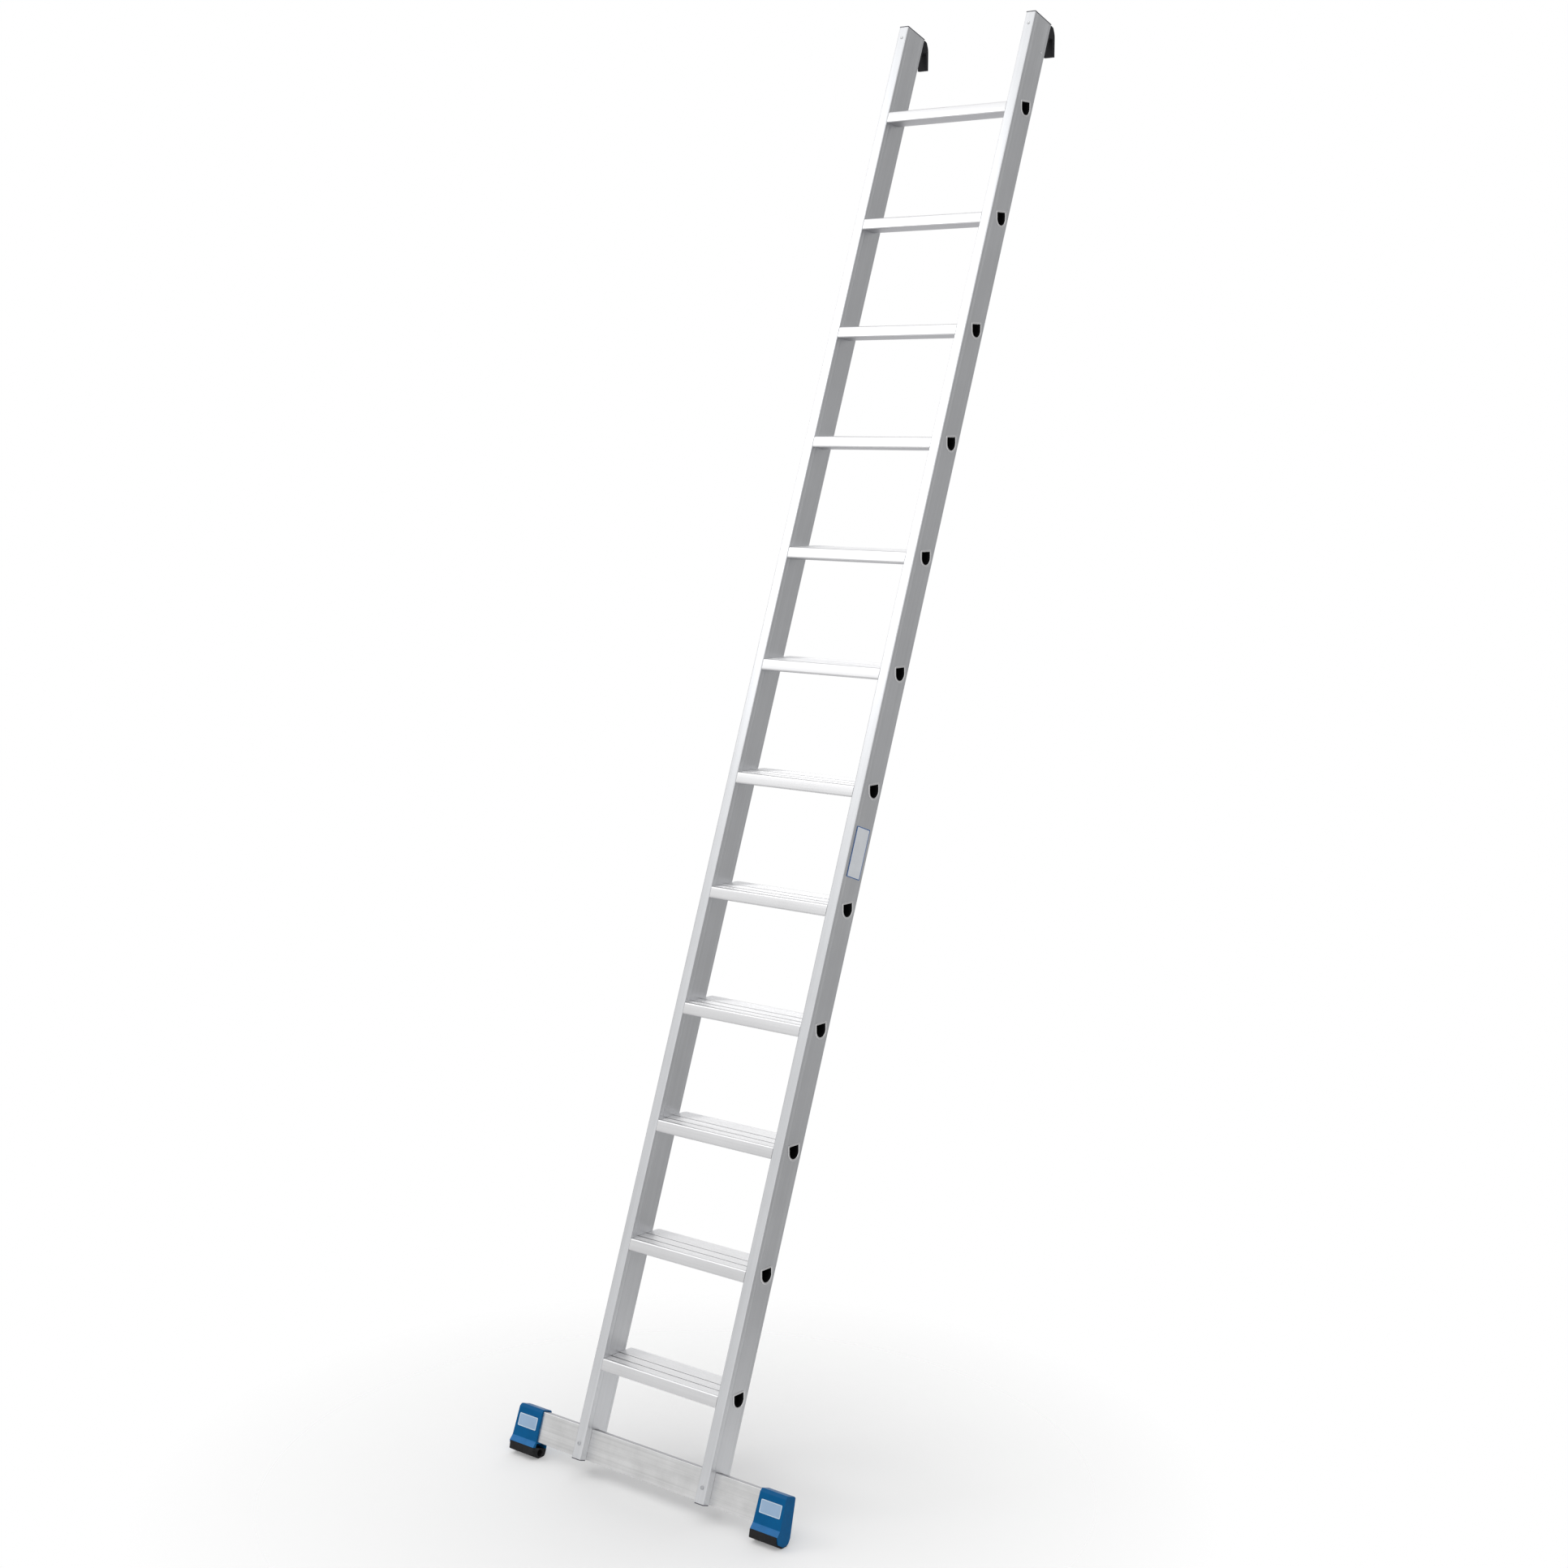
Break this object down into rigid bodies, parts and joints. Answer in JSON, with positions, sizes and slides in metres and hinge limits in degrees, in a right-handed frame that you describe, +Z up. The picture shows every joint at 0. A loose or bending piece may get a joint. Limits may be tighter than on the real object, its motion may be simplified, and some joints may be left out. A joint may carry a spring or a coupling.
{
  "type": "leaning tread ladder",
  "caption": "Leaning ladder with deep flat treads between box-section stiles, hooks behind the stile tops and a wide stabiliser bar with rubber-soled end caps.",
  "frame": {"origin": "on the rail that the hooks go over, midway between the two hooks", "axes": "+Z up with the ladder leaning at its working angle of 70 degrees, +Y towards the wall it leans on, +X to the climber's right"},
  "size_m": [0.733, 1.1574, 3.0146],
  "materials": {
    "stile_aluminium": "mill-finish extruded aluminium, satin",
    "tread_aluminium": "extruded aluminium with fine lengthwise ribs, satin",
    "bar_aluminium": "mill-finish extruded aluminium, slightly mottled",
    "rivet_aluminium": "plain aluminium",
    "zinc_steel": "zinc-plated",
    "black_plastic": "fine moulded grain",
    "grey_plastic": "fine moulded grain",
    "blue_plastic": "moulded, satin gloss",
    "rubber": "matt moulded rubber",
    "label_panel": "blank pale panel"
  },
  "bodies": {
    "root": {"bar_bolt_left": "zinc_steel", "bar_bolt_right": "zinc_steel", "bar_cap_left": "blue_plastic", "bar_cap_right": "blue_plastic", "bar_nut_left": "zinc_steel", "bar_nut_right": "zinc_steel", "bar_washer_left": "zinc_steel", "bar_washer_right": "zinc_steel", "cap_label_left": "label_panel", "cap_label_right": "label_panel", "foot_plug_left": "grey_plastic", "foot_plug_right": "grey_plastic", "hook_left": "black_plastic", "hook_right": "black_plastic", "hook_rivet_left_lower": "rivet_aluminium", "hook_rivet_left_upper": "rivet_aluminium", "hook_rivet_right_lower": "rivet_aluminium", "hook_rivet_right_upper": "rivet_aluminium", "plug_front_rivet_left": "rivet_aluminium", "plug_front_rivet_right": "rivet_aluminium", "plug_side_rivet_left": "rivet_aluminium", "plug_side_rivet_right": "rivet_aluminium", "sole_left": "rubber", "sole_right": "rubber", "stabiliser_bar": "bar_aluminium", "stile_label": "label_panel", "stile_left": "stile_aluminium", "stile_right": "stile_aluminium", "top_plug_left": "grey_plastic", "top_plug_right": "grey_plastic", "tread_01": "tread_aluminium", "tread_02": "tread_aluminium", "tread_03": "tread_aluminium", "tread_04": "tread_aluminium", "tread_05": "tread_aluminium", "tread_06": "tread_aluminium", "tread_07": "tread_aluminium", "tread_08": "tread_aluminium", "tread_09": "tread_aluminium", "tread_10": "tread_aluminium", "tread_11": "tread_aluminium", "tread_12": "tread_aluminium"}
  },
  "joints": []
}
